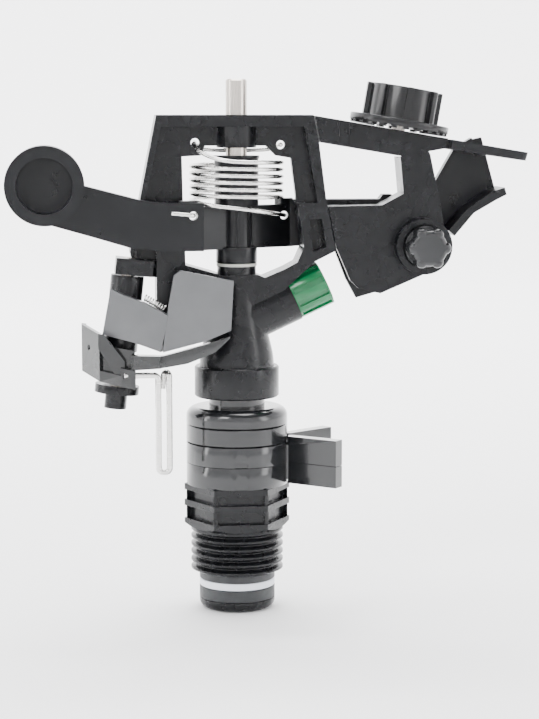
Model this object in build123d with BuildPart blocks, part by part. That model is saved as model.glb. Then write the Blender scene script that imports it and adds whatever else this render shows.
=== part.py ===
from build123d import *
import os
from math import cos, sin, radians

# Part-circle impact sprinkler with a 1/2-inch male inlet.
# Millimetres. +Z up along the inlet and the fulcrum pin, origin at the lower end of
# the inlet thread. +X points the way the nozzle throws, -Y is the side of the shield.

os.makedirs("parts", exist_ok=True)

# ---------------------------------------------------------------- driving dimensions
# Inlet stack, from below
flange_r = 8.7               # sleeve flange and the three washers
flange_bottom = -9.3
lower_seal_z = (-6.9, -4.05)
bearing_washer_z = (-4.0, -2.4)
upper_seal_z = (-2.4, -0.5)
sleeve_r = 5.5
sleeve_bore_r = 4.2
sleeve_top = 46.8
running_gap = 0.08           # radial clearance of the turning fits

thread_r = 10.6              # 1/2-inch parallel thread, 20.9 to 21.2 mm over the crests
thread_root_r = 9.5
thread_pitch = 1.814
thread_turns = 5
thread_crest = 0.42
hex_z = (9.7, 19.7)
hex_corner_r = 12.12         # 21 mm across flats
hex_pockets = ((11.7, 14.6), (16.0, 18.3))
hex_pocket_width = 10.6
hex_pocket_depth = 1.3
hex_post_r = 11.65           # corners are set back between the ribs
hex_flat = 10.5              # from the axis to a flat
shank_r = 8.8
shank_top = 33.6
spring_pocket_r = 7.8
spring_pocket_floor = 25.0

# Collars, ring and cap on the shank
collar_r = 11.6
lower_collar_z = (19.8, 24.75)
upper_collar_z = (24.85, 29.35)
ring_z = (29.45, 33.6)
cap_z = (33.75, 37.6)
neck_r = 6.4
neck_top = 39.85

# Tabs of the trip collars
tab_angle = 37.0
tab_root_x = 12.4
tab_length = 13.4
tab_upper_top = 30.7         # the upper pair of tabs stands above its ring
tab_thin = 1.5
tab_thick = 2.9

# Body
body_collar_r = 9.65
body_collar_z = (39.9, 46.9)
boss_r = 4.4
boss_top = 69.6
barrel_angle = 25.0
barrel_z = 56.33             # height where the barrel's axis meets the main axis
barrel_r = 5.33
barrel_end = 14.1            # along the barrel's axis
barrel_bore_r = 3.9
riser_r = 4.0                # waterway above the sleeve
bridge_top = 103.7
bridge_depth = 4.5           # half the depth of its flanges
bridge_web = 1.0             # half the thickness of its web
top_boss_r = 4.5
top_boss_bottom = 96.4
pin_r = 2.4
pin_z = (62.5, 111.7)
spring_hole_r = 1.0

# Nozzle, along the barrel's axis
nozzle_r = 5.15
nozzle_exit = 22.3
nozzle_orifice_r = 2.1
nozzle_grooves = 10

# Impact arm
arm_front = (-8.7, -5.3)     # Y of the part in front of the left leg
arm_back = (5.3, 8.7)        # Y of the part behind the right leg
arm_z = (73.6, 84.7)
hub_r = 4.65
weight_centre = (-43.15, 88.3)
weight_r = 8.75
weight_recess_r = 6.2
weight_y = (-13.0, -1.0)

# Arm spring
coil_r = 10.3
coil_wire_r = 0.48
coil_turns = 6
coil_pitch = 1.54
coil_bottom = 84.4
web_top_under_coil = 83.3

# Deflector frame, flap and knob
beam_slope = 9.6             # degrees down to the right
frame_half = 4.4
panel_thickness = 1.4
beam_start = (18.7, 103.3)
beam_length = 29.4
knob_along = 18.45            # from the beam's start to the knob's axis
knob_r = 8.67
knob_drum_r = 7.75
knob_ridges = 8
knob_teeth = 24
knob_flange_r = 11.3
flap_slot_start = 23.1       # along the beam
flap_hinge = (24.4, -1.35)   # along the beam and above its top
flap_pin_r = 0.75
flap_half = 5.5
flap_end = 48.1
diffuser_centre = (41.7, 74.3)
diffuser_boss_r = 6.3
diffuser_boss_front = 9.2    # distance of its face in front of the middle plane
diffuser_knob_r = 4.7
diffuser_pin_r = 1.8

# Trip mechanism
pivot_top = (-24.4, -1.0, 71.4)
pivot_tilt = 5.9             # degrees in the XZ plane
pivot_length = 33.6


def plane_xz(y):
    """Plane at this Y seen from the front: local x is +X, local y is +Z, normal -Y."""
    return Plane(origin=(0, y, 0), x_dir=(1, 0, 0), z_dir=(0, -1, 0))


def save(part, name):
    part.label = name
    export_step(part, "parts/" + name + ".step")


# Axis of the barrel and the nozzle: z_dir points out of the nozzle.
barrel_dir = (cos(radians(barrel_angle)), 0, sin(radians(barrel_angle)))
barrel_up = (-sin(radians(barrel_angle)), 0, cos(radians(barrel_angle)))


def barrel_plane(along):
    """Plane square to the barrel, at this distance from the main axis."""
    origin = (along * barrel_dir[0], 0, barrel_z + along * barrel_dir[2])
    return Plane(origin=origin, x_dir=barrel_up, z_dir=barrel_dir)


# Frame of the beam: local x runs down the beam, local z is its upward normal.
beam_dir = (cos(radians(beam_slope)), 0, -sin(radians(beam_slope)))
beam_up = (sin(radians(beam_slope)), 0, cos(radians(beam_slope)))


def beam_side(y):
    """Side view of the beam at this Y: local x runs down the beam, local y is its normal."""
    return Plane(origin=(beam_start[0], y, beam_start[1]), x_dir=beam_dir, z_dir=(0, -1, 0))


def beam_plane(along, height=0.0):
    """Plane parallel to the beam's top, at this place along it and above it."""
    x = beam_start[0] + along * beam_dir[0] + height * beam_up[0]
    z = beam_start[1] + along * beam_dir[2] + height * beam_up[2]
    return Plane(origin=(x, 0, z), x_dir=beam_dir, z_dir=beam_up)


# Axis of the trip lever: local z points up along the pivot pin.
pivot_dir = (sin(radians(pivot_tilt)), 0, cos(radians(pivot_tilt)))
pivot_side = (cos(radians(pivot_tilt)), 0, -sin(radians(pivot_tilt)))


def pivot_plane(down):
    """Plane square to the pivot pin, at this distance below its top."""
    x = pivot_top[0] - down * pivot_dir[0]
    z = pivot_top[2] - down * pivot_dir[2]
    return Plane(origin=(x, pivot_top[1], z), x_dir=pivot_side, z_dir=pivot_dir)


def washer(name, z_range, outer_r, inner_r, edge):
    """A flat washer with broken edges."""
    with BuildPart() as disc:
        with BuildSketch(Plane.XY.offset(z_range[0])):
            Circle(outer_r)
            Circle(inner_r, mode=Mode.SUBTRACT)
        extrude(amount=z_range[1] - z_range[0])
        rims = disc.edges().filter_by(GeomType.CIRCLE).group_by(lambda e: e.radius)[-1]
        chamfer(rims, edge)
    save(disc.part, name)


# ------------------------------------------------------------------- inlet and bearing
with BuildPart() as inlet_nipple:
    thread_top = hex_z[0]
    with BuildSketch(Plane.XY.offset(upper_seal_z[1])):
        Circle(thread_r)
    extrude(amount=thread_top - upper_seal_z[1])
    with BuildSketch(Plane.XY.offset(hex_z[0])):
        RegularPolygon(hex_corner_r, 6)
    extrude(amount=hex_z[1] - hex_z[0])
    with BuildSketch(Plane.XY.offset(hex_z[1])):
        Circle(shank_r)
    extrude(amount=shank_top - hex_z[1])
    # Thread: V grooves between flat crests, and a cone at the lower end
    with BuildSketch(Plane.XZ):
        for turn in range(thread_turns):
            low = turn * thread_pitch + thread_crest
            high = (turn + 1) * thread_pitch
            middle = (low + high) / 2
            with BuildLine():
                Polyline((thread_r + 1, low), (thread_r, low), (thread_root_r, middle - 0.1),
                         (thread_root_r, middle + 0.1), (thread_r, high), (thread_r + 1, high),
                         close=True)
            make_face()
        with BuildLine():
            Polyline((thread_root_r, upper_seal_z[1]), (thread_r + 1, upper_seal_z[1]),
                     (thread_r + 1, 0), (thread_r, 0), close=True)
        make_face()
        # Corner posts set back between the ribs
        for low, high in hex_pockets:
            with BuildLine():
                Polyline((hex_post_r, low), (hex_corner_r + 1, low),
                         (hex_corner_r + 1, high), (hex_post_r, high), close=True)
            make_face()
        # Chamfer of the hexagon's lower corners
        with BuildLine():
            Polyline((hex_corner_r - 1.6, hex_z[0]), (hex_corner_r + 1, hex_z[0]),
                     (hex_corner_r + 1, hex_z[0] + 1.5), close=True)
        make_face()
    revolve(axis=Axis.Z, mode=Mode.SUBTRACT)
    # Two pockets in each flat of the hexagon
    for low, high in hex_pockets:
        with BuildSketch(Plane.XY.offset(low)):
            with PolarLocations(hex_flat, 6, start_angle=30):
                Rectangle(2 * hex_pocket_depth, hex_pocket_width)
        extrude(amount=high - low, mode=Mode.SUBTRACT)
    with BuildSketch(Plane.XY.offset(upper_seal_z[1])):
        Circle(sleeve_r + running_gap)
    extrude(amount=shank_top - upper_seal_z[1], mode=Mode.SUBTRACT)
    with BuildSketch(Plane.XY.offset(spring_pocket_floor)):
        Circle(spring_pocket_r)
    extrude(amount=shank_top - spring_pocket_floor, mode=Mode.SUBTRACT)
save(inlet_nipple.part, "inlet_nipple")

with BuildPart() as bearing_sleeve:
    with BuildSketch(Plane.XZ):
        with BuildLine():
            Line((sleeve_bore_r, flange_bottom), (flange_r - 1.9, flange_bottom))
            RadiusArc((flange_r - 1.9, flange_bottom), (flange_r, flange_bottom + 1.9), -1.9)
            Polyline((flange_r, flange_bottom + 1.9), (flange_r, lower_seal_z[0]),
                     (sleeve_r, lower_seal_z[0]), (sleeve_r, sleeve_top),
                     (sleeve_bore_r, sleeve_top), (sleeve_bore_r, flange_bottom))
        make_face()
    revolve(axis=Axis.Z)
save(bearing_sleeve.part, "bearing_sleeve")

washer("lower_seal_washer", lower_seal_z, flange_r, sleeve_r + 0.02, 0.2)
washer("bearing_washer", bearing_washer_z, flange_r, sleeve_r + running_gap, 0.15)
washer("upper_seal_washer", upper_seal_z, flange_r, sleeve_r + running_gap, 0.2)

bearing_spring_r = 6.9
bearing_spring_wire = 0.6
bearing_spring_height = 7.2
with BuildPart() as bearing_spring:
    with BuildLine():
        Helix(bearing_spring_height / 4, bearing_spring_height, bearing_spring_r,
              center=(0, 0, spring_pocket_floor + bearing_spring_wire + 0.02))
    spring_start = Plane(origin=(bearing_spring_r, 0, spring_pocket_floor
                                 + bearing_spring_wire + 0.02),
                         x_dir=(1, 0, 0), z_dir=(0, 1, 0))
    with BuildSketch(spring_start):
        Circle(bearing_spring_wire)
    sweep(is_frenet=True)
save(bearing_spring.part, "bearing_spring")


def tab_outline(side):
    """Plan of one pinch tab: it spreads outwards and is thicker at its end."""
    along = (cos(radians(tab_angle)), side * sin(radians(tab_angle)))
    across = (side * -along[1], side * along[0])
    root = (tab_root_x, side * 1.1)
    tip = (root[0] + along[0] * tab_length, root[1] + along[1] * tab_length)
    return (root, tip, (tip[0] + across[0] * tab_thick, tip[1] + across[1] * tab_thick),
            (root[0] + across[0] * tab_thin - 1.5, root[1] + across[1] * tab_thin))


def trip_collar(name, z_range, tab_range, boss_range):
    """A split ring with a boss and two pinch tabs."""
    with BuildPart() as collar:
        with BuildSketch(Plane.XY.offset(z_range[0])):
            Circle(collar_r)
        extrude(amount=z_range[1] - z_range[0])
        # Boss at the root of the tabs
        with BuildSketch(Plane.XY.offset(boss_range[0])):
            with Locations((tab_root_x - 1.5, 0)):
                RectangleRounded(6.4, 7.0, 1.6)
        extrude(amount=boss_range[1] - boss_range[0])
        with BuildSketch(Plane.XY.offset(tab_range[0])):
            for side in (-1, 1):
                with BuildLine():
                    Polyline(*tab_outline(side), close=True)
                make_face()
            Circle(collar_r + 0.3, mode=Mode.SUBTRACT)
        extrude(amount=tab_range[1] - tab_range[0])
        with BuildSketch(Plane.XY.offset(z_range[0])):
            Circle(shank_r + running_gap)
        extrude(amount=z_range[1] - z_range[0], mode=Mode.SUBTRACT)
        # The split between the two tabs
        with Locations((tab_root_x, 0, z_range[0])):
            Box(9, 0.6, 14, align=(Align.CENTER, Align.CENTER, Align.MIN), mode=Mode.SUBTRACT)
        # Index notch in the front of the ring
        with Locations((0, -collar_r, z_range[0])):
            Box(3.0, 0.9, 1.1, align=(Align.CENTER, Align.CENTER, Align.MIN),
                mode=Mode.SUBTRACT)
    save(collar.part, name)


trip_collar("lower_trip_collar", lower_collar_z, (19.9, 24.75), (20.7, 24.75))
trip_collar("upper_trip_collar", upper_collar_z, (24.85, tab_upper_top), (24.85, 28.7))

washer("retaining_ring", ring_z, collar_r, shank_r + 0.02, 0.3)

with BuildPart() as dust_cap:
    with BuildSketch(Plane.XZ):
        with BuildLine():
            Polyline((sleeve_r + 0.02, cap_z[0]), (collar_r, cap_z[0]),
                     (collar_r, cap_z[1] - 2.2))
            RadiusArc((collar_r, cap_z[1] - 2.2), (collar_r - 2.2, cap_z[1]), -2.2)
            Polyline((collar_r - 2.2, cap_z[1]), (neck_r, cap_z[1]), (neck_r, neck_top),
                     (sleeve_r + 0.02, neck_top), (sleeve_r + 0.02, cap_z[0]))
        make_face()
    revolve(axis=Axis.Z)
save(dust_cap.part, "dust_cap")

# ------------------------------------------------------------------------------- body
bridge_outline = [(-18.3, bridge_top), (17.0, bridge_top), (18.3, 97.3), (19.9, 85.0),
                  (22.2, 73.2), (17.4, 70.8), (11.0, 64.9), (5.0, 58.0), (-12.0, 55.5),
                  (-18.4, 57.5), (-18.4, 68.4), (-23.4, 69.0), (-24.3, 73.4)]
window_outline = [(-12.4, 94.4), (-8.2, 94.6), (-7.2, 96.8), (6.6, 96.8), (8.8, 94.6),
                  (12.3, 94.0), (14.2, 79.0), (14.9, 74.0), (13.4, 70.6), (10.8, 69.2),
                  (6.05, 67.2), (4.4, 67.9), (-3.4, 67.6), (-5.4, 68.3), (-11.9, 70.2)]
main_pocket = [(-17.2, 101.1), (15.0, 101.1), (18.0, 84.0), (-12.0, 84.0), (-12.0, 77.0),
               (-18.4, 77.0), (-18.4, 68.0), (-24.0, 68.0), (-23.6, 73.0)]
leg_pocket = [(16.2, 80.4), (18.9, 80.4), (20.0, 74.0), (17.0, 73.0)]
spring_holes = ((-9.4, 97.5), (9.95, 97.0))
lug_down = (-0.3, 3.3)       # along the pivot pin, below its top

with BuildPart() as body:
    # Bridge: an I-section frame round the window, with flanges front and back
    with BuildSketch(plane_xz(bridge_depth)):
        Polygon(*bridge_outline, align=None)
        Polygon(*window_outline, align=None, mode=Mode.SUBTRACT)
    extrude(amount=2 * bridge_depth)
    for face_y, sign in ((-bridge_depth, -1), (bridge_depth, 1)):
        with BuildSketch(plane_xz(face_y)):
            Polygon(*main_pocket, align=None)
            Polygon(*leg_pocket, align=None)
        extrude(amount=sign * (bridge_depth - bridge_web), mode=Mode.SUBTRACT)
    # Bearing lug for the pivot pin of the trip lever
    with BuildSketch(pivot_plane(lug_down[1])):
        Polygon((-3.0, -4.2), (4.6, -4.2), (6.6, -2.4), (6.6, 3.4), (-3.0, 3.4), align=None)
    extrude(amount=lug_down[1] - lug_down[0])
    # Collar, bell and fulcrum boss
    with BuildSketch(Plane.XZ):
        with BuildLine():
            Polyline((0, body_collar_z[0]), (body_collar_r - 0.3, body_collar_z[0]),
                     (body_collar_r, body_collar_z[0] + 0.3),
                     (body_collar_r, body_collar_z[1] - 0.3),
                     (body_collar_r - 0.3, body_collar_z[1]), (8.5, body_collar_z[1]))
            Spline((8.5, body_collar_z[1]), (7.6, 52.6), (6.2, 58.0), (5.0, 63.0),
                   (boss_r, boss_top), tangents=((0, 1), (0, 1)))
            Polyline((boss_r, boss_top), (0, boss_top), (0, body_collar_z[0]))
        make_face()
    revolve(axis=Axis.Z)
    # Barrel
    with BuildSketch(barrel_plane(0)):
        Circle(barrel_r)
    extrude(amount=barrel_end)
    # Boss that holds the top of the fulcrum pin
    with BuildSketch(Plane.XY.offset(top_boss_bottom)):
        Circle(top_boss_r)
    extrude(amount=bridge_top - top_boss_bottom)
    # Room for the nozzle under the right leg
    with BuildSketch(barrel_plane(barrel_end)):
        Circle(nozzle_r + 0.15)
    extrude(amount=14, mode=Mode.SUBTRACT)
    # Waterway: sleeve seat, riser and barrel bore
    with BuildSketch(Plane.XY.offset(body_collar_z[0])):
        Circle(sleeve_r + 0.02)
    extrude(amount=body_collar_z[1] - body_collar_z[0], mode=Mode.SUBTRACT)
    with BuildSketch(Plane.XY.offset(body_collar_z[1])):
        Circle(riser_r)
    extrude(amount=barrel_z - body_collar_z[1], mode=Mode.SUBTRACT)
    with Locations((0, 0, barrel_z)):
        Sphere(riser_r, mode=Mode.SUBTRACT)
    with BuildSketch(barrel_plane(0)):
        Circle(barrel_bore_r)
    extrude(amount=barrel_end, mode=Mode.SUBTRACT)
    with BuildSketch(barrel_plane(barrel_end - 5.2)):
        Circle(4.35)
    extrude(amount=5.2, mode=Mode.SUBTRACT)
    # Fulcrum pin hole through both bosses
    with BuildSketch(Plane.XY.offset(pin_z[0])):
        Circle(pin_r + 0.01)
    extrude(amount=bridge_top - pin_z[0], mode=Mode.SUBTRACT)
    # Holes for the tails of the arm spring
    with BuildSketch(plane_xz(-bridge_depth)):
        with Locations(*spring_holes):
            Circle(spring_hole_r)
    extrude(amount=-2 * bridge_depth, mode=Mode.SUBTRACT)
    # Hole for the pivot pin of the trip lever
    with BuildSketch(pivot_plane(-2)):
        Circle(1.5)
    extrude(amount=-8, mode=Mode.SUBTRACT)
save(body.part, "body")

with BuildPart() as fulcrum_pin:
    with BuildSketch(Plane.XY.offset(pin_z[0])):
        Circle(pin_r)
    extrude(amount=pin_z[1] - pin_z[0])
    chamfer(fulcrum_pin.edges().filter_by(GeomType.CIRCLE), 0.35)
save(fulcrum_pin.part, "fulcrum_pin")

with BuildPart() as stream_straightener:
    with BuildSketch(barrel_plane(3.0)):
        Circle(barrel_bore_r - 0.03)
        Circle(barrel_bore_r - 0.6, mode=Mode.SUBTRACT)
        for turn in range(3):
            Rectangle(2 * barrel_bore_r - 0.8, 0.6, rotation=turn * 60)
    extrude(amount=5.5)
save(stream_straightener.part, "stream_straightener")

spigot_r = 4.3
oring_r = 3.93
oring_wire = 0.41
oring_along = 11.2
with BuildPart() as nozzle:
    with BuildSketch(barrel_plane(barrel_end + 0.05)):
        Circle(nozzle_r)
        with PolarLocations(nozzle_r, nozzle_grooves):
            Rectangle(1.1, 1.35, mode=Mode.SUBTRACT)
    extrude(amount=nozzle_exit - barrel_end - 0.05)
    # Plain rings at both ends of the ribs
    for along in (barrel_end + 0.05, nozzle_exit - 0.5):
        with BuildSketch(barrel_plane(along)):
            Circle(nozzle_r - 0.12)
        extrude(amount=0.5)
    with BuildSketch(barrel_plane(barrel_end - 5.0)):
        Circle(spigot_r)
    extrude(amount=5.2)
    # Groove for the O-ring
    with BuildSketch(barrel_plane(oring_along - 0.55)):
        Circle(spigot_r + 0.5)
        Circle(oring_r - oring_wire, mode=Mode.SUBTRACT)
    extrude(amount=1.1, mode=Mode.SUBTRACT)
    # Converging bore and straight orifice
    with BuildSketch(barrel_plane(barrel_end - 5.0)):
        Circle(3.3)
    with BuildSketch(barrel_plane(nozzle_exit - 2.5)):
        Circle(nozzle_orifice_r)
    loft(mode=Mode.SUBTRACT)
    with BuildSketch(barrel_plane(nozzle_exit - 2.6)):
        Circle(nozzle_orifice_r)
    extrude(amount=3, mode=Mode.SUBTRACT)
save(nozzle.part, "nozzle")

with BuildPart() as nozzle_seal:
    ring_plane = barrel_plane(oring_along)
    with BuildSketch(Plane(origin=ring_plane.origin, x_dir=barrel_up, z_dir=(0, -1, 0))):
        with Locations((oring_r, 0)):
            Circle(oring_wire - 0.01)
    revolve(axis=Axis(ring_plane.origin, barrel_dir))
save(nozzle_seal.part, "nozzle_seal")

# -------------------------------------------------------------------------------- arm
washer("hub_washer", (boss_top + 0.02, boss_top + 0.72), 4.6, pin_r + 0.05, 0.12)

left_arm = [(-8.0, 73.6), (-17.2, 73.6), (-24.7, 74.5), (-32.8, 76.9), (-41.9, 79.5),
            (-38.0, 88.9), (-34.5, 88.2), (-21.8, 84.9), (-17.0, 84.3), (-8.0, 84.3)]
right_arm = [(12.4, arm_z[0]), (45.5, 75.4), (49.0, 78.5), (46.5, 87.0), (37.2, 84.4),
             (36.4, 85.5), (34.4, 85.5), (33.6, 84.4), (12.4, 84.4)]
diagonal_web = [(-13.5, arm_front[0]), (13.5, arm_back[0] + 0.4), (13.5, arm_back[1]),
                (-13.5, arm_front[1] - 0.4)]
spoon_wall = [(46.3, 86.5), (51.6, 95.6), (55.4, 98.0), (57.7, 98.5), (61.2, 86.0),
              (54.4, 83.2), (49.4, 77.5), (45.0, 77.0)]
spoon_tray = [(48.6, 77.4), (52.6, 82.1), (58.4, 86.2), (61.5, 87.2), (62.0, 85.6),
              (59.6, 84.4), (54.4, 81.4), (50.0, 76.2)]
spoon_rim = [(45.6, 86.4), (51.0, 95.8), (55.2, 98.4), (55.6, 97.6), (51.9, 95.2),
             (46.7, 85.8)]
arm_holes = ((-10.3, 81.4), (11.4, 80.8))

with BuildPart() as arm:
    with BuildSketch(plane_xz(arm_front[1])):
        Polygon(*left_arm, align=None)
    extrude(amount=arm_front[1] - arm_front[0])
    with BuildSketch(plane_xz(arm_back[1])):
        Polygon(*right_arm, align=None)
    extrude(amount=arm_back[1] - arm_back[0])
    with BuildSketch(Plane.XY.offset(arm_z[0])):
        Polygon(*diagonal_web, align=None)
    extrude(amount=arm_z[1] - arm_z[0])
    # Room for the coil above the web
    with BuildSketch(Plane.XY.offset(web_top_under_coil)):
        Circle(coil_r + 1.1)
    extrude(amount=3, mode=Mode.SUBTRACT)
    # Hub: low collar, slim middle with four ribs, tall upper hub and its rim
    for bottom, top, radius in ((70.45, 74.0, hub_r), (74.0, 83.3, 3.5),
                                (83.3, 93.9, 5.0), (93.9, 94.6, 5.2)):
        with BuildSketch(Plane.XY.offset(bottom)):
            Circle(radius)
        extrude(amount=top - bottom)
    with BuildSketch(Plane.XY.offset(74.0)):
        with PolarLocations(3.4, 8):
            Rectangle(1.0, 0.7)
    extrude(amount=9.5)
    # Ring for the weight
    with BuildSketch(plane_xz(weight_y[1])):
        with Locations(weight_centre):
            Circle(weight_r)
    extrude(amount=weight_y[1] - weight_y[0])
    with BuildSketch(plane_xz(-8.0)):
        with Locations(weight_centre):
            Circle(weight_recess_r)
    extrude(amount=6, mode=Mode.SUBTRACT)
    with BuildSketch(plane_xz(weight_y[1])):
        with Locations(weight_centre):
            Circle(weight_recess_r)
    extrude(amount=5.8, mode=Mode.SUBTRACT)
    # Spoon: wall behind the jet, tray that the jet strikes and a rim on the wall
    with BuildSketch(plane_xz(8.7)):
        Polygon(*spoon_wall, align=None)
    extrude(amount=1.6)
    with BuildSketch(plane_xz(8.7)):
        Polygon(*spoon_tray, align=None)
    extrude(amount=10.2)
    with BuildSketch(plane_xz(8.7)):
        Polygon(*spoon_rim, align=None)
    extrude(amount=2.7)
    # Pin bore and the holes for the spring's lower tail
    with BuildSketch(Plane.XY.offset(70)):
        Circle(pin_r + 0.06)
    extrude(amount=25, mode=Mode.SUBTRACT)
    with BuildSketch(plane_xz(-12)):
        with Locations(*arm_holes):
            Circle(spring_hole_r)
    extrude(amount=-24, mode=Mode.SUBTRACT)
save(arm.part, "arm")

with BuildPart() as counterweight:
    with BuildSketch(plane_xz(weight_y[1] - 0.1)):
        with Locations(weight_centre):
            Circle(weight_recess_r - 0.02)
    extrude(amount=5.6)
    chamfer(counterweight.edges().filter_by(GeomType.CIRCLE), 0.3)
save(counterweight.part, "counterweight")

coil_start_angle = 198.7     # where both tails leave the coil
coil_height = coil_turns * coil_pitch
coil_top = coil_bottom + coil_height
tail_gap = 3.5               # degrees between the coil's end and its tail


def coil_point(side, z):
    """Start of the upper (1) or lower (-1) tail, in line with the end of the coil."""
    angle = radians(coil_start_angle - side * tail_gap)
    return coil_r * cos(angle), coil_r * sin(angle), z


upper_tail_line = [coil_point(1, coil_top), (-9.6, -1.2, 97.2), (-9.4, 2.4, 97.5),
                   (-6.4, 3.5, 95.9), (6.8, 3.5, 95.9), (9.95, 2.4, 97.0), (9.95, -0.8, 97.0)]
lower_tail_line = [coil_point(-1, coil_bottom), (-7.2, -6.9, 84.1), (0.5, -7.0, 82.7),
                   (11.4, 2.6, 80.9), (11.4, 8.9, 80.7), (-2.8, 4.9, 81.0),
                   (-10.3, -2.4, 81.4), (-10.3, -9.4, 81.6), (-15.2, -9.4, 82.0)]

with BuildPart() as spring_coil:
    with BuildLine() as coil_line:
        Helix(coil_pitch, coil_height, coil_r, center=(0, 0, coil_bottom), lefthand=True)
    with BuildSketch(Plane(origin=coil_line.line @ 0, z_dir=coil_line.line % 0)):
        Circle(coil_wire_r)
    sweep(path=coil_line.line, is_frenet=True)

with BuildPart() as arm_spring:
    # The left-hand coil is turned round the pin so that it starts at its tails
    add(spring_coil.part.rotate(Axis.Z, coil_start_angle))
save(arm_spring.part, "arm_spring")

with BuildPart() as spring_upper_tail:
    with BuildLine() as upper_line:
        FilletPolyline(*upper_tail_line, radius=0.5)
    with BuildSketch(Plane(origin=upper_tail_line[0], z_dir=upper_line.line % 0)):
        Circle(coil_wire_r)
    sweep(path=upper_line.line)
save(spring_upper_tail.part, "spring_upper_tail")

with BuildPart() as spring_lower_tail:
    with BuildLine() as lower_line:
        FilletPolyline(*lower_tail_line, radius=0.7)
    with BuildSketch(Plane(origin=lower_tail_line[0], z_dir=lower_line.line % 0)):
        Circle(coil_wire_r)
    sweep(path=lower_line.line)
save(spring_lower_tail.part, "spring_lower_tail")

# ------------------------------------------------------------------- deflector frame
front_panel = [(20.45, 83.2), (32.7, 83.4), (37.6, 86.0), (36.8, 94.2), (39.4, 96.0),
               (42.6, 96.6), (43.6, 94.9), (46.2, 83.0), (47.6, 74.0), (46.2, 69.6),
               (43.4, 68.1), (32.4, 63.4), (27.4, 64.6), (25.5, 66.4), (22.4, 73.6)]
back_panel = [(20.45, 83.2), (32.7, 83.4), (37.6, 86.0), (36.8, 94.2), (43.0, 94.0),
              (45.4, 79.1), (45.2, 69.6), (33.9, 63.5), (27.9, 61.8), (25.5, 66.2),
              (22.6, 73.6)]
roof = [(20.45, 83.2), (32.7, 83.4), (37.6, 86.0), (36.8, 94.2), (42.9, 94.2), (44.7, 83.6),
        (42.0, 83.6), (33.4, 81.9), (20.7, 81.8)]
hinge_length = 8.1            # the pin's hole is blind in front
beam_outline = [(-1.3, 0), (beam_length, 0), (29.2, -2.3), (19.5, -5.65), (0.8, -5.65)]

with BuildPart() as deflector_frame:
    with BuildSketch(beam_side(frame_half)):
        Polygon(*beam_outline, align=None)
    extrude(amount=2 * frame_half)
    with BuildSketch(plane_xz(frame_half)):
        Polygon(*roof, align=None)
    extrude(amount=2 * frame_half)
    with BuildSketch(plane_xz(-frame_half + panel_thickness)):
        Polygon(*front_panel, align=None)
    extrude(amount=panel_thickness)
    with BuildSketch(plane_xz(frame_half)):
        Polygon(*back_panel, align=None)
    extrude(amount=panel_thickness)
    # Boss for the diffuser, with a recess for the knob's skirt
    with BuildSketch(plane_xz(-frame_half + 0.1)):
        with Locations(diffuser_centre):
            Circle(diffuser_boss_r)
    extrude(amount=diffuser_boss_front - frame_half + 0.1)
    with BuildSketch(plane_xz(-diffuser_boss_front + 2.4)):
        with Locations(diffuser_centre):
            Circle(diffuser_knob_r + 0.25)
    extrude(amount=3, mode=Mode.SUBTRACT)
    with BuildSketch(plane_xz(0)):
        with Locations(diffuser_centre):
            Circle(diffuser_pin_r + 0.05)
    extrude(amount=diffuser_boss_front, mode=Mode.SUBTRACT)
    # Two ribs across the beam's front and back
    for place in (23.3, 25.5):
        with Locations((place, 0, 99.5)):
            Box(0.9, 2 * frame_half + 0.6, 5.0)
    # Slot for the flap's tongue, bores for its hinge pin and for the knob screw
    with BuildSketch(beam_plane(flap_slot_start, 0.01)):
        Rectangle(9, 6.5, align=(Align.MIN, Align.CENTER))
    extrude(amount=-3.7, mode=Mode.SUBTRACT)
    with BuildSketch(beam_side(frame_half)):
        with Locations(flap_hinge):
            Circle(flap_pin_r + 0.02)
    extrude(amount=hinge_length + 0.1, mode=Mode.SUBTRACT)
    with BuildSketch(beam_plane(knob_along, 0.1)):
        Circle(1.52)
    extrude(amount=-6.2, mode=Mode.SUBTRACT)
save(deflector_frame.part, "deflector_frame")

with BuildPart() as flap_hinge_pin:
    with BuildSketch(beam_side(frame_half)):
        with Locations(flap_hinge):
            Circle(flap_pin_r)
    extrude(amount=hinge_length)
save(flap_hinge_pin.part, "flap_hinge_pin")

with BuildPart() as deflector_flap:
    tongue_half = 3.0
    with BuildSketch(beam_side(tongue_half)):
        with Locations(flap_hinge):
            Circle(1.1)
        Polygon((flap_hinge[0], -0.28), (30.4, -0.28), (30.4, -2.3),
                (flap_hinge[0], -2.45), align=None)
        with Locations(flap_hinge):
            Circle(flap_pin_r + 0.05, mode=Mode.SUBTRACT)
    extrude(amount=2 * tongue_half)
    with BuildSketch(beam_side(flap_half)):
        Polygon((30.1, -0.1), (flap_end, -0.1), (flap_end - 0.2, -2.0), (30.3, -2.3),
                align=None)
    extrude(amount=2 * flap_half)
    fillet(deflector_flap.edges().filter_by(lambda e: e.length < 2.2).group_by(Axis.X)[-1],
           1.2)
save(deflector_flap.part, "deflector_flap")

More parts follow.
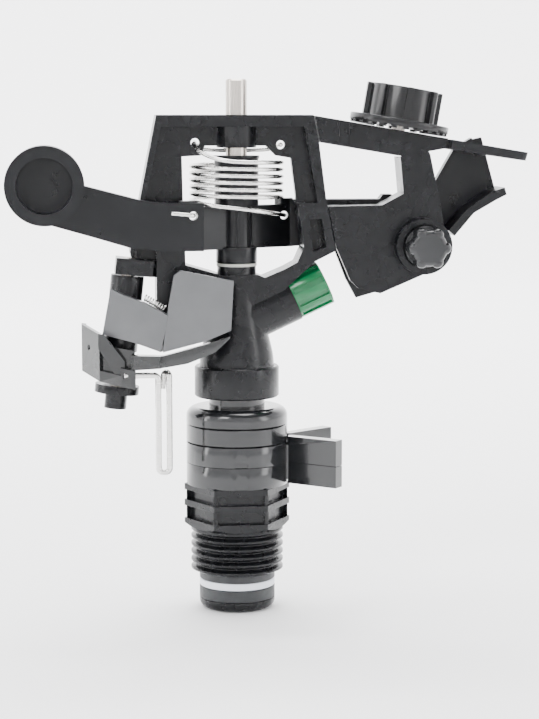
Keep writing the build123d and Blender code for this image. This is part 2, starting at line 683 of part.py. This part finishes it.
knob_flange_z = (0.85, 2.4)  # above the beam's top
knob_top = 9.7
with BuildPart() as deflector_knob:
    with BuildSketch(beam_plane(knob_along, knob_flange_z[0])):
        Circle(knob_flange_r)
    extrude(amount=knob_flange_z[1] - knob_flange_z[0])
    with BuildSketch(beam_plane(knob_along, knob_flange_z[1])):
        Circle(knob_drum_r)
        with PolarLocations(knob_drum_r, knob_ridges):
            Rectangle(2 * (knob_r - knob_drum_r), 1.5)
    extrude(amount=knob_top - knob_flange_z[1])
    # Crown of detent teeth under the flange
    with BuildSketch(beam_plane(knob_along, knob_flange_z[0])):
        with PolarLocations(knob_flange_r - 1.15, knob_teeth):
            Rectangle(1.9, 1.3)
    extrude(amount=-0.55)
    # Recess for the screw's head, and its bore
    with BuildSketch(beam_plane(knob_along, knob_top)):
        Circle(4.2)
    extrude(amount=-2.6, mode=Mode.SUBTRACT)
    with BuildSketch(beam_plane(knob_along, 0)):
        Circle(1.55)
    extrude(amount=knob_top, mode=Mode.SUBTRACT)
save(deflector_knob.part, "deflector_knob")

with BuildPart() as knob_screw:
    head_bottom = knob_top - 2.55
    with BuildSketch(beam_plane(knob_along, -5.5)):
        Circle(1.5)
    extrude(amount=5.5 + head_bottom)
    with BuildSketch(beam_plane(knob_along, head_bottom)):
        Circle(3.0)
    extrude(amount=1.8)
    fillet(knob_screw.edges().filter_by(GeomType.CIRCLE).group_by(Axis.Z)[-1], 0.7)
    with BuildSketch(beam_plane(knob_along, head_bottom + 1.8)):
        Rectangle(3.4, 0.8)
        Rectangle(0.8, 3.4)
    extrude(amount=-1.0, mode=Mode.SUBTRACT)
save(knob_screw.part, "knob_screw")

diffuser_skirt_back = 7.0    # distances in front of the middle plane
diffuser_dome_front = 16.0
with BuildPart() as diffuser_knob:
    with BuildSketch(plane_xz(-diffuser_skirt_back)):
        with Locations(diffuser_centre):
            Circle(diffuser_knob_r)
    extrude(amount=3.6)
    with BuildSketch(plane_xz(-diffuser_skirt_back - 3.6)):
        with Locations(diffuser_centre):
            Circle(diffuser_knob_r - 0.7)
            with PolarLocations(diffuser_knob_r - 1.2, 6):
                Circle(1.35)
    extrude(amount=diffuser_dome_front - diffuser_skirt_back - 3.6)
    fillet(diffuser_knob.faces().sort_by(Axis.Y)[0].edges(), 0.9)
    with BuildSketch(plane_xz(-diffuser_skirt_back + 0.1)):
        with Locations(diffuser_centre):
            Circle(diffuser_pin_r + 0.05)
    extrude(amount=5.4, mode=Mode.SUBTRACT)
save(diffuser_knob.part, "diffuser_knob")

with BuildPart() as diffuser_pin:
    with BuildSketch(plane_xz(-2.9)):
        with Locations(diffuser_centre):
            Circle(diffuser_pin_r)
    extrude(amount=9.0)
    chamfer(diffuser_pin.faces().sort_by(Axis.Y)[-1].edges(), 0.9)
save(diffuser_pin.part, "diffuser_pin")

# --------------------------------------------------------------------- trip mechanism
pivot_pin_r = 1.45
with BuildPart() as pivot_pin:
    with BuildSketch(pivot_plane(pivot_length)):
        Circle(pivot_pin_r)
    extrude(amount=pivot_length + 0.4)
save(pivot_pin.part, "pivot_pin")

with BuildPart() as pivot_nut:
    with BuildSketch(pivot_plane(30.5)):
        Circle(5.0)
    extrude(amount=1.9)
    with BuildSketch(pivot_plane(34.0)):
        Circle(2.5)
    extrude(amount=3.6)
    with BuildSketch(pivot_plane(33.7)):
        Circle(pivot_pin_r + 0.01)
    extrude(amount=8, mode=Mode.SUBTRACT)
save(pivot_nut.part, "pivot_nut")

# The lever's base slopes down towards the front, and its walls stand upright on it.
lever_slope = (0.13, -0.14)  # slopes of its normal along X and Y
lever_origin = (-30.0, -4.0, 44.5)
lever_outline = [(-35.4, 2.6), (-35.4, 1.2), (-31.4, -6.4), (-26.4, -9.0), (-23.3, -9.9),
                 (-23.3, -6.4), (-23.9, 2.0), (-29.5, 3.0)]
left_wall = [(-35.4, 2.6), (-35.4, 1.2), (-31.4, -6.4), (-30.6, -5.8), (-34.3, 1.5),
             (-34.3, 2.6)]
inner_wall = [(-31.0, -5.6), (-23.4, -6.9), (-23.4, -5.6), (-30.4, -4.3)]
front_block = [(-26.6, -8.9), (-23.3, -9.9), (-23.3, -6.2), (-26.6, -6.2)]
brace = [(-31.7, 52.0), (-31.7, 55.4), (-30.2, 54.8), (-25.8, 49.0), (-25.8, 44.6),
         (-27.2, 44.6)]
bar_arc = ((-24.4, -8.3), (-13.0, -11.0), (-2.4, -9.6))
bar_side = [(-24.4, 50.5), (-17.5, 50.5), (-8.6, 52.9), (-2.4, 54.7), (-2.4, 54.2),
            (-5.8, 51.2), (-8.9, 50.0), (-12.0, 48.8), (-17.7, 47.8), (-24.4, 47.2)]
bar_step_x = -17.5           # left of this the bar is a block
bar_thickness = 1.6
wire_r = 0.68
wire_axis = (-8.6, 45.9)     # Y and Z of the wire's own hinge


def lever_plane(height):
    """Sloping plane of the lever's base, this much above its underside."""
    origin = (lever_origin[0], lever_origin[1], lever_origin[2] + height)
    return Plane(origin=origin, x_dir=(1, 0, -lever_slope[0]),
                 z_dir=(lever_slope[0], lever_slope[1], 1))


def lever_points(outline):
    """Plan points of the lever, measured from the origin of its sloping plane."""
    return [(x - lever_origin[0], y - lever_origin[1]) for x, y in outline]


with BuildPart() as lever_bar:
    # Curved bar in front of the body: its plan, cut to its side view
    with BuildSketch(Plane.XY.offset(46)):
        with BuildLine():
            front_arc = ThreePointArc(*bar_arc)
            offset(front_arc, amount=bar_thickness / 2)
        make_face()
        with Locations((bar_step_x - 3.0, -9.6)):
            Rectangle(6.0, 3.0, rotation=-16)
    extrude(amount=10)
    with BuildSketch(plane_xz(-5)):
        Polygon(*bar_side, align=None)
    extrude(amount=8, mode=Mode.INTERSECT)

with BuildPart() as trip_lever:
    with BuildSketch(lever_plane(0)):
        Polygon(*lever_points(lever_outline), align=None)
    extrude(amount=2.5, dir=(0, 0, 1))
    with BuildSketch(lever_plane(0)):
        Polygon(*lever_points(left_wall), align=None)
    extrude(amount=10.6, dir=(0, 0, 1))
    with BuildSketch(lever_plane(0)):
        Polygon(*lever_points(inner_wall), align=None)
    extrude(amount=8.0, dir=(0, 0, 1))
    with BuildSketch(lever_plane(0)):
        Polygon(*lever_points(front_block), align=None)
    extrude(amount=4.2, dir=(0, 0, 1))
    # Sloping brace from the wall's front corner down to the block
    with BuildSketch(plane_xz(-6.3)):
        Polygon(*brace, align=None)
    extrude(amount=1.6)
    # Hub on the pivot pin
    with BuildSketch(pivot_plane(28.0)):
        Circle(3.2)
    extrude(amount=6.8)
    add(lever_bar.part)
    # Hole that carries the trip wire
    with BuildSketch(Plane(origin=(-26.3, wire_axis[0], wire_axis[1]), z_dir=(1, 0, 0))):
        Circle(wire_r + 0.05)
    extrude(amount=6, mode=Mode.SUBTRACT)
    with BuildSketch(pivot_plane(34)):
        Circle(pivot_pin_r + 0.06)
    extrude(amount=14, mode=Mode.SUBTRACT)
    # Hole in the wall that hooks the over-centre spring
    with BuildSketch(Plane(origin=(-40, -1.9, 51.6), z_dir=(1, 0, 0))):
        Circle(0.6)
    extrude(amount=8, mode=Mode.SUBTRACT)
save(trip_lever.part, "trip_lever")

wire_route = [(-26.0, wire_axis[0], wire_axis[1]), (-18.4, wire_axis[0], wire_axis[1]),
              (-18.4, wire_axis[0], 23.9), (-15.95, wire_axis[0], 23.9),
              (-15.95, wire_axis[0], 46.4), (-17.0, -6.6, 46.4), (-17.4, -6.6, 42.6)]
with BuildPart() as trip_wire:
    with BuildLine() as wire_line:
        FilletPolyline(*wire_route, radius=1.0)
    with BuildSketch(Plane(origin=wire_route[0], z_dir=(1, 0, 0))):
        Circle(wire_r)
    sweep(path=wire_line.line)
save(trip_wire.part, "trip_wire")

latch_range = (20.8, 3.65)    # distances below the pin's top
fold = (-16.1, -9.8)
left_panel_turn = 22.8       # degrees that the left panel turns back
left_panel = [(-28.3, 65.2), (-26.7, 64.3), (-21.2, 62.3), (-15.6, 59.4), (-17.4, 51.3),
              (-23.2, 53.2), (-30.2, 54.8)]
right_panel = [(-13.4, 69.5), (-1.6, 67.1), (-2.2, 56.0), (-7.9, 53.7), (-17.4, 51.3),
               (-16.9, 55.8), (-16.1, 61.9), (-14.9, 68.4)]
shield_thickness = 1.3
latch_arm = [(-2.9, -0.5), (-2.6, -3.4), (3.2, -5.8), (8.6, -8.05), (8.6, -6.4),
             (2.7, -4.0), (2.9, -0.5)]

with BuildPart() as reversing_latch:
    with BuildSketch(pivot_plane(latch_range[0])):
        Circle(3.75)
    extrude(amount=latch_range[0] - latch_range[1])
    # Arm of the latch, which backs the shield
    with BuildSketch(pivot_plane(16.5)):
        Polygon(*latch_arm, align=None)
    extrude(amount=5.8)
    with BuildSketch(pivot_plane(latch_range[0] + 1)):
        Circle(pivot_pin_r + 0.06)
    extrude(amount=20, mode=Mode.SUBTRACT)
save(reversing_latch.part, "reversing_latch")

panel_side = (cos(radians(left_panel_turn)), -sin(radians(left_panel_turn)), 0)
panel_normal = (-sin(radians(left_panel_turn)), -cos(radians(left_panel_turn)), 0)
with BuildPart() as trip_shield:
    with BuildSketch(Plane(origin=(fold[0], fold[1], 0), x_dir=panel_side,
                           z_dir=panel_normal)):
        Polygon(*[((x - fold[0]) / panel_side[0], z) for x, z in left_panel], align=None)
    extrude(amount=shield_thickness)
    with BuildSketch(plane_xz(fold[1])):
        Polygon(*right_panel, align=None)
    extrude(amount=shield_thickness)
save(trip_shield.part, "trip_shield")

# Over-centre spring of the trip, laid behind the shield's sloping top edge
over_centre_start = (-21.1, -6.9, 63.2)
over_centre_dir = (0.83, -0.29, -0.47)
over_centre_r = 0.62
over_centre_pitch = 0.62
with BuildPart() as over_centre_spring:
    with BuildLine() as small_coil:
        Helix(over_centre_pitch, 8 * over_centre_pitch, over_centre_r,
              center=over_centre_start, direction=over_centre_dir)
    with BuildSketch(Plane(origin=small_coil.line @ 0, z_dir=small_coil.line % 0)):
        Circle(0.2)
    sweep(path=small_coil.line, is_frenet=True)
save(over_centre_spring.part, "over_centre_spring")
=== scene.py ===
import math

import bmesh
import bpy
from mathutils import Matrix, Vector


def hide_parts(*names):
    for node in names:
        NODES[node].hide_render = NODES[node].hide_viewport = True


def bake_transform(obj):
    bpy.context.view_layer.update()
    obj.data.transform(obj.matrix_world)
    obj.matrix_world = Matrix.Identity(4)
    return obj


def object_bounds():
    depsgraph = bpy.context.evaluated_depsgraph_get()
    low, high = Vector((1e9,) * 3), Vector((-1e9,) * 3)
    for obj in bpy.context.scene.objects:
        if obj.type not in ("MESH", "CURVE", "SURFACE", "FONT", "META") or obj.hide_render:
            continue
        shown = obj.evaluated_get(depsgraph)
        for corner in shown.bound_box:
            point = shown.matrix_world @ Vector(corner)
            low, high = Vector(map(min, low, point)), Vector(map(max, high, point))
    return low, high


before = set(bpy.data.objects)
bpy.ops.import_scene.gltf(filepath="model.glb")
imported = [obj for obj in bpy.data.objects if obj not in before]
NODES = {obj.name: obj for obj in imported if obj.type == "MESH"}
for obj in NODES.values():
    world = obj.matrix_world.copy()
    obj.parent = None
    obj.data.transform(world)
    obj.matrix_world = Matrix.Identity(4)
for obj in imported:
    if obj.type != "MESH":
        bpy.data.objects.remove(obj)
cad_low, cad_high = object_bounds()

MM = 0.001
scene = bpy.context.scene


# ------------------------------------------------------------------ camera, light, floor
def make_camera():
    """The photograph's view: 6 degrees left of the front and 7 degrees above it."""
    data = bpy.data.cameras.new("camera")
    data.lens = 100.14
    data.sensor_width = 36
    data.clip_start, data.clip_end = 0.01, 20
    camera = bpy.data.objects.new("camera", data)
    scene.collection.objects.link(camera)
    camera.location = Vector((-40.0, -452.3, 104.7)) * MM
    look = Vector((0.1037, 0.9868, -0.1236))
    camera.rotation_mode = "QUATERNION"
    camera.rotation_quaternion = look.to_track_quat("-Z", "Y")
    scene.camera = camera


def area_light(name, place, target, size, power):
    data = bpy.data.lights.new(name, "AREA")
    data.shape = "RECTANGLE"
    data.size, data.size_y = size
    data.energy = power
    light = bpy.data.objects.new(name, data)
    scene.collection.objects.link(light)
    light.location = place
    light.rotation_mode = "QUATERNION"
    light.rotation_quaternion = (Vector(target) - Vector(place)).to_track_quat("-Z", "Y")


def make_lights():
    area_light("key", (-0.55, -0.70, 0.80), (0, 0, 0.06), (0.35, 0.35), 5.5)
    area_light("strip", (-0.60, -0.10, 0.12), (0, 0, 0.06), (0.10, 0.60), 1.6)
    area_light("fill", (0.80, -0.45, 0.30), (0, 0, 0.06), (0.25, 0.60), 2.6)
    area_light("top", (0.05, 0.30, 1.05), (0, 0.2, 0.0), (0.9, 0.9), 30)
    area_light("wall", (0.0, 0.55, 1.00), (0, 1.5, 0.25), (1.2, 0.4), 32)
    world = bpy.data.worlds.new("studio")
    scene.world = world
    world.use_nodes = True
    sky = world.node_tree.nodes["Background"]
    sky.inputs["Color"].default_value = (1, 1, 1, 1)
    sky.inputs["Strength"].default_value = 0.5


def make_floor(level):
    """A round pale floor whose rim curves up into a plain wall."""
    mesh = bpy.data.meshes.new("floor")
    shape = bmesh.new()
    radius, bend, wall, steps = 1.5, 0.5, 1.4, 96
    profile = [(0.0, 0.0), (radius - bend, 0.0)]
    for i in range(1, 13):
        a = math.radians(90 * i / 12)
        profile.append((radius - bend + bend * math.sin(a), bend - bend * math.cos(a)))
    profile.append((radius, wall))
    rings = []
    for r, z in profile:
        if r == 0:
            rings.append([shape.verts.new((0, 0, level + z))])
            continue
        rings.append([shape.verts.new((r * math.cos(2 * math.pi * k / steps),
                                       r * math.sin(2 * math.pi * k / steps), level + z))
                      for k in range(steps)])
    for k in range(steps):
        shape.faces.new((rings[0][0], rings[1][k], rings[1][(k + 1) % steps]))
        for low, high in zip(rings[1:], rings[2:]):
            shape.faces.new((low[k], high[k], high[(k + 1) % steps], low[(k + 1) % steps]))
    for face in shape.faces:
        face.smooth = True
    shape.to_mesh(mesh)
    shape.free()
    floor = bpy.data.objects.new("floor", mesh)
    scene.collection.objects.link(floor)
    paper = bpy.data.materials.new("paper")
    paper.use_nodes = True
    shader = paper.node_tree.nodes["Principled BSDF"]
    shader.inputs["Base Color"].default_value = (0.95, 0.95, 0.955, 1)
    shader.inputs["Roughness"].default_value = 0.9
    mesh.materials.append(paper)


make_camera()
make_lights()
make_floor(cad_low.z)


# ---------------------------------------------------------------------------- materials
def new_material(name):
    material = bpy.data.materials.new(name)
    material.use_nodes = True
    tree = material.node_tree
    return material, tree, tree.nodes["Principled BSDF"]


def noise(tree, scale, detail=3.0, stretch=None):
    """Noise in the object's own coordinates, in metres; stretch squeezes its axes."""
    place = tree.nodes.new("ShaderNodeTexCoord")
    texture = tree.nodes.new("ShaderNodeTexNoise")
    texture.inputs["Scale"].default_value = scale
    texture.inputs["Detail"].default_value = detail
    source = place.outputs["Object"]
    if stretch:
        mapping = tree.nodes.new("ShaderNodeMapping")
        mapping.inputs["Scale"].default_value = stretch
        tree.links.new(source, mapping.inputs["Vector"])
        source = mapping.outputs["Vector"]
    tree.links.new(source, texture.inputs["Vector"])
    return texture.outputs["Fac"]


def spread(tree, value, low, high, start=0.35, end=0.65):
    """Maps a noise value between start and end to low and high."""
    node = tree.nodes.new("ShaderNodeMapRange")
    node.inputs["From Min"].default_value = start
    node.inputs["From Max"].default_value = end
    node.inputs["To Min"].default_value = low
    node.inputs["To Max"].default_value = high
    tree.links.new(value, node.inputs["Value"])
    return node.outputs["Result"]


def colour_between(tree, value, dark, light):
    mix = tree.nodes.new("ShaderNodeMix")
    mix.data_type = "RGBA"
    mix.inputs["A"].default_value = (*dark, 1)
    mix.inputs["B"].default_value = (*light, 1)
    tree.links.new(value, mix.inputs["Factor"])
    return mix.outputs["Result"]


def bump(tree, shader, height, strength, distance, edge=0.00012):
    """Bump over normals that are rounded at the edges by the given radius."""
    rounding = tree.nodes.new("ShaderNodeBevel")
    rounding.samples = 6
    rounding.inputs["Radius"].default_value = edge
    node = tree.nodes.new("ShaderNodeBump")
    node.inputs["Strength"].default_value = strength
    node.inputs["Distance"].default_value = distance
    tree.links.new(height, node.inputs["Height"])
    tree.links.new(rounding.outputs["Normal"], node.inputs["Normal"])
    tree.links.new(node.outputs["Normal"], shader.inputs["Normal"])


def plastic(name, dark, light, rough, coat=0.0, specular=0.4):
    """Moulded plastic: faint cloudy colour, uneven gloss, a fine grain and flow waves."""
    material, tree, shader = new_material(name)
    link = tree.links.new
    clouds = noise(tree, 120, 3)
    link(colour_between(tree, spread(tree, clouds, 0, 1, 0.2, 0.8), dark, light),
         shader.inputs["Base Color"])
    link(spread(tree, noise(tree, 260, 4), rough * 0.8, rough * 1.3, 0.2, 0.8),
         shader.inputs["Roughness"])
    grain = tree.nodes.new("ShaderNodeMath")
    grain.operation = "ADD"
    link(noise(tree, 2600, 2), grain.inputs[0])
    link(spread(tree, noise(tree, 140, 1), 0, 2.0, 0, 1), grain.inputs[1])
    bump(tree, shader, grain.outputs[0], 0.16, 0.00005)
    shader.inputs["IOR"].default_value = 1.5
    shader.inputs["Specular IOR Level"].default_value = specular
    shader.inputs["Coat Weight"].default_value = coat
    shader.inputs["Coat Roughness"].default_value = 0.06
    return material


def steel(name, colour, rough, stretch):
    """Drawn or turned stainless steel: fine scratches along or round the piece."""
    material, tree, shader = new_material(name)
    link = tree.links.new
    scratches = noise(tree, 900, 3, stretch)
    link(colour_between(tree, spread(tree, scratches, 0, 1),
                        tuple(c * 0.86 for c in colour), colour),
         shader.inputs["Base Color"])
    link(spread(tree, scratches, rough * 0.7, rough * 1.5), shader.inputs["Roughness"])
    shader.inputs["Metallic"].default_value = 1.0
    bump(tree, shader, scratches, 0.12, 0.00003, 0.00006)
    return material


def rubber(name, dark, light, rough):
    material, tree, shader = new_material(name)
    link = tree.links.new
    link(colour_between(tree, spread(tree, noise(tree, 300, 4), 0, 1), dark, light),
         shader.inputs["Base Color"])
    link(spread(tree, noise(tree, 700, 3), rough * 0.85, rough * 1.1),
         shader.inputs["Roughness"])
    bump(tree, shader, noise(tree, 3200, 3), 0.35, 0.00008)
    return material


BODY_BLACK = plastic("body_black", (0.0030, 0.0033, 0.0042), (0.0055, 0.0058, 0.0070), 0.26,
                     0.0, 0.26)
GLOSS_BLACK = plastic("gloss_black", (0.0050, 0.0055, 0.0065), (0.0090, 0.0095, 0.0110),
                      0.15, 0.35, 0.45)
ARM_BLACK = plastic("arm_black", (0.0032, 0.0035, 0.0045), (0.0060, 0.0064, 0.0076), 0.3,
                    0.0, 0.26)
KNOB_BLACK = plastic("knob_black", (0.0036, 0.0038, 0.0044), (0.0064, 0.0066, 0.0074),
                     0.22, 0.1, 0.3)
LEVER_BLACK = plastic("lever_black", (0.008, 0.0085, 0.009), (0.014, 0.015, 0.016), 0.24, 0.3,
                      0.45)
# The shield is the same black plastic as the body; its grey base colour is painted sheen,
# standing in for the softbox light that its tilted panels catch.
SHIELD_PAINTED_SHEEN = plastic("shield_painted_sheen", (0.072, 0.074, 0.078), (0.098, 0.100, 0.105), 0.32,
                       0.3, 0.5)
NOZZLE_GREEN = plastic("nozzle_green", (0.0, 0.10, 0.030), (0.001, 0.15, 0.048), 0.24, 0.3)
WHITE_PLASTIC = plastic("white_plastic", (0.72, 0.75, 0.82), (0.82, 0.84, 0.90), 0.42)
PALE_PLASTIC = plastic("pale_plastic", (0.40, 0.40, 0.37), (0.50, 0.50, 0.46), 0.45)
RUBBER_BLACK = rubber("rubber_black", (0.010, 0.011, 0.013), (0.018, 0.020, 0.022), 0.5)
PIN_STEEL = steel("pin_steel", (0.60, 0.55, 0.50), 0.24, (6, 6, 0.15))
WIRE_STEEL = steel("wire_steel", (0.80, 0.79, 0.77), 0.2, (1, 1, 4))
WEIGHT_METAL = steel("weight_metal", (0.030, 0.030, 0.033), 0.55, (1, 1, 1))


SHARP_ANGLE = math.radians(32)   # edges sharper than this are broken
WELD_GAP = 0.002 * MM


def use(node, material, bevel):
    """Gives a CAD node its finish, and breaks its sharp edges by a bevel in mm, if any."""
    piece = NODES[node]
    piece.data.materials.clear()
    piece.data.materials.append(material)
    if bevel:
        weld = piece.modifiers.new("weld", "WELD")
        weld.merge_threshold = WELD_GAP
        edge = piece.modifiers.new("edge", "BEVEL")
        edge.width = bevel * MM
        edge.segments = 2
        edge.limit_method = "ANGLE"
        edge.angle_limit = SHARP_ANGLE
        edge.use_clamp_overlap = True
        edge.harden_normals = True


FINISH = {
    "inlet_nipple": (BODY_BLACK, 0.12), "bearing_sleeve": (BODY_BLACK, 0.12),
    "lower_seal_washer": (RUBBER_BLACK, 0), "upper_seal_washer": (RUBBER_BLACK, 0),
    "bearing_washer": (WHITE_PLASTIC, 0), "bearing_spring": (WIRE_STEEL, 0),
    "lower_trip_collar": (GLOSS_BLACK, 0.2), "upper_trip_collar": (GLOSS_BLACK, 0.2),
    "retaining_ring": (GLOSS_BLACK, 0), "dust_cap": (GLOSS_BLACK, 0),
    "body": (BODY_BLACK, 0.25), "fulcrum_pin": (PIN_STEEL, 0),
    "stream_straightener": (BODY_BLACK, 0), "nozzle": (NOZZLE_GREEN, 0.1),
    "nozzle_seal": (RUBBER_BLACK, 0), "hub_washer": (PALE_PLASTIC, 0),
    "arm": (ARM_BLACK, 0.25), "counterweight": (WEIGHT_METAL, 0),
    "deflector_frame": (BODY_BLACK, 0.2),
    "flap_hinge_pin": (PIN_STEEL, 0), "deflector_flap": (ARM_BLACK, 0.2),
    "deflector_knob": (KNOB_BLACK, 0.2), "knob_screw": (PIN_STEEL, 0),
    "diffuser_knob": (GLOSS_BLACK, 0.3), "diffuser_pin": (BODY_BLACK, 0),
    "pivot_pin": (PIN_STEEL, 0), "pivot_nut": (BODY_BLACK, 0.15),
    "trip_lever": (LEVER_BLACK, 0.2), "trip_wire": (WIRE_STEEL, 0),
    "reversing_latch": (BODY_BLACK, 0.2), "trip_shield": (SHIELD_PAINTED_SHEEN, 0.25),
    "over_centre_spring": (WIRE_STEEL, 0),
}
for node_name, (material, bevel) in FINISH.items():
    use(node_name, material, bevel)


# ------------------------------------------------------------------------- arm spring
COIL_R = 10.3
COIL_WIRE_R = 0.48
COIL_TURNS = 6
COIL_PITCH = 1.54
COIL_BOTTOM = 84.4
COIL_START_ANGLE = 198.7
COIL_STEPS = 48      # points in one turn
LEAD_IN = 0.2        # turns over which the top of the coil climbs to the upper tail
LEAD_RISE = 3.2
CURVE_STEPS = 7      # points between two points of a tail

# The wire is held in the arm at its lower end and in the bridge at its upper end
LOWER_TAIL = [(-15.2, -9.45, 82.0), (-12.5, -9.45, 81.8), (-10.9, -9.3, 81.6),
              (-10.3, -8.4, 81.5), (-10.3, -4.5, 81.4), (-10.0, -2.6, 81.4),
              (-8.4, -0.2, 81.3), (-2.8, 4.9, 81.0), (4.0, 8.0, 80.9), (9.6, 9.3, 80.8),
              (11.3, 8.2, 80.8), (11.4, 5.0, 80.8), (11.0, 2.0, 81.0), (8.9, -2.6, 81.5),
              (5.0, -6.0, 82.2), (0.0, -7.7, 82.9), (-5.2, -7.6, 83.5), (-8.5, -5.9, 84.1)]
UPPER_TAIL = [(-9.7, -1.6, 97.3), (-9.4, 0.6, 97.5), (-9.3, 2.2, 97.4), (-8.2, 3.4, 96.6),
              (-5.6, 3.6, 95.8), (6.0, 3.6, 95.8), (8.8, 3.3, 96.4), (9.9, 1.8, 97.0),
              (9.95, -1.2, 97.0)]


def smooth_path(points):
    """Catmull-Rom curve through the points."""
    points = [Vector(p) for p in points]
    padded = [points[0] * 2 - points[1], *points, points[-1] * 2 - points[-2]]
    path = []
    for a, b, c, d in zip(padded, padded[1:], padded[2:], padded[3:]):
        for k in range(CURVE_STEPS):
            t = k / CURVE_STEPS
            path.append(0.5 * (2 * b + (c - a) * t + (2 * a - 5 * b + 4 * c - d) * t ** 2
                               + (3 * b - a - 3 * c + d) * t ** 3))
    return path + [points[-1]]


def tube(name, path, radius, material, sides=14):
    """A round wire along the path, in millimetres, with rounded-off closed ends."""
    path = [Vector(p) * MM for p in path]
    radius *= MM
    mesh = bpy.data.meshes.new(name)
    shape = bmesh.new()
    tangents = [(b - a).normalized() for a, b in zip(path, path[1:])]
    tangents = [tangents[0]] + [(a + b).normalized() for a, b in zip(tangents, tangents[1:])]
    tangents.append((path[-1] - path[-2]).normalized())
    side = tangents[0].orthogonal().normalized()
    rings = []
    for place, tangent in zip(path, tangents):
        side = (side - tangent * side.dot(tangent)).normalized()
        up = tangent.cross(side)
        turns = [2 * math.pi * k / sides for k in range(sides)]
        rings.append([shape.verts.new(place + radius * (math.cos(a) * side + math.sin(a) * up))
                      for a in turns])
    for low, high in zip(rings, rings[1:]):
        for k in range(sides):
            shape.faces.new((low[k], low[(k + 1) % sides], high[(k + 1) % sides], high[k]))
    for ring, place, way in ((rings[0], path[0], -tangents[0]),
                             (rings[-1], path[-1], tangents[-1])):
        tip = shape.verts.new(place + way * radius * 0.35)
        for k in range(sides):
            pair = (ring[(k + 1) % sides], ring[k])
            shape.faces.new((*(pair if ring is rings[0] else pair[::-1]), tip))
    for face in shape.faces:
        face.smooth = True
    shape.to_mesh(mesh)
    shape.free()
    mesh.materials.append(material)
    piece = bpy.data.objects.new(name, mesh)
    scene.collection.objects.link(piece)
    return piece


def coil_path():
    """The coil from its lower end up; its last part climbs towards the hole in the bridge."""
    path = []
    for k in range(COIL_TURNS * COIL_STEPS + 1):
        turn = k / COIL_STEPS
        angle = math.radians(COIL_START_ANGLE - 360 * turn)
        climb = max(0.0, (turn - COIL_TURNS + LEAD_IN) / LEAD_IN)
        path.append((COIL_R * math.cos(angle), COIL_R * math.sin(angle),
                     COIL_BOTTOM + COIL_PITCH * turn + LEAD_RISE * climb ** 2))
    return path


def make_arm_spring():
    """One smooth wire for the coil and both tails, built in its rest shape."""
    coil = coil_path()
    lower = smooth_path([*LOWER_TAIL, coil[0], coil[3]])[:-CURVE_STEPS]
    upper = smooth_path([coil[-4], coil[-1], *UPPER_TAIL])[CURVE_STEPS + 1:]
    spring = tube("arm_spring_wire", lower + coil[1:] + upper, COIL_WIRE_R, WIRE_STEEL)
    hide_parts("arm_spring", "spring_upper_tail", "spring_lower_tail")
    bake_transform(spring)


make_arm_spring()
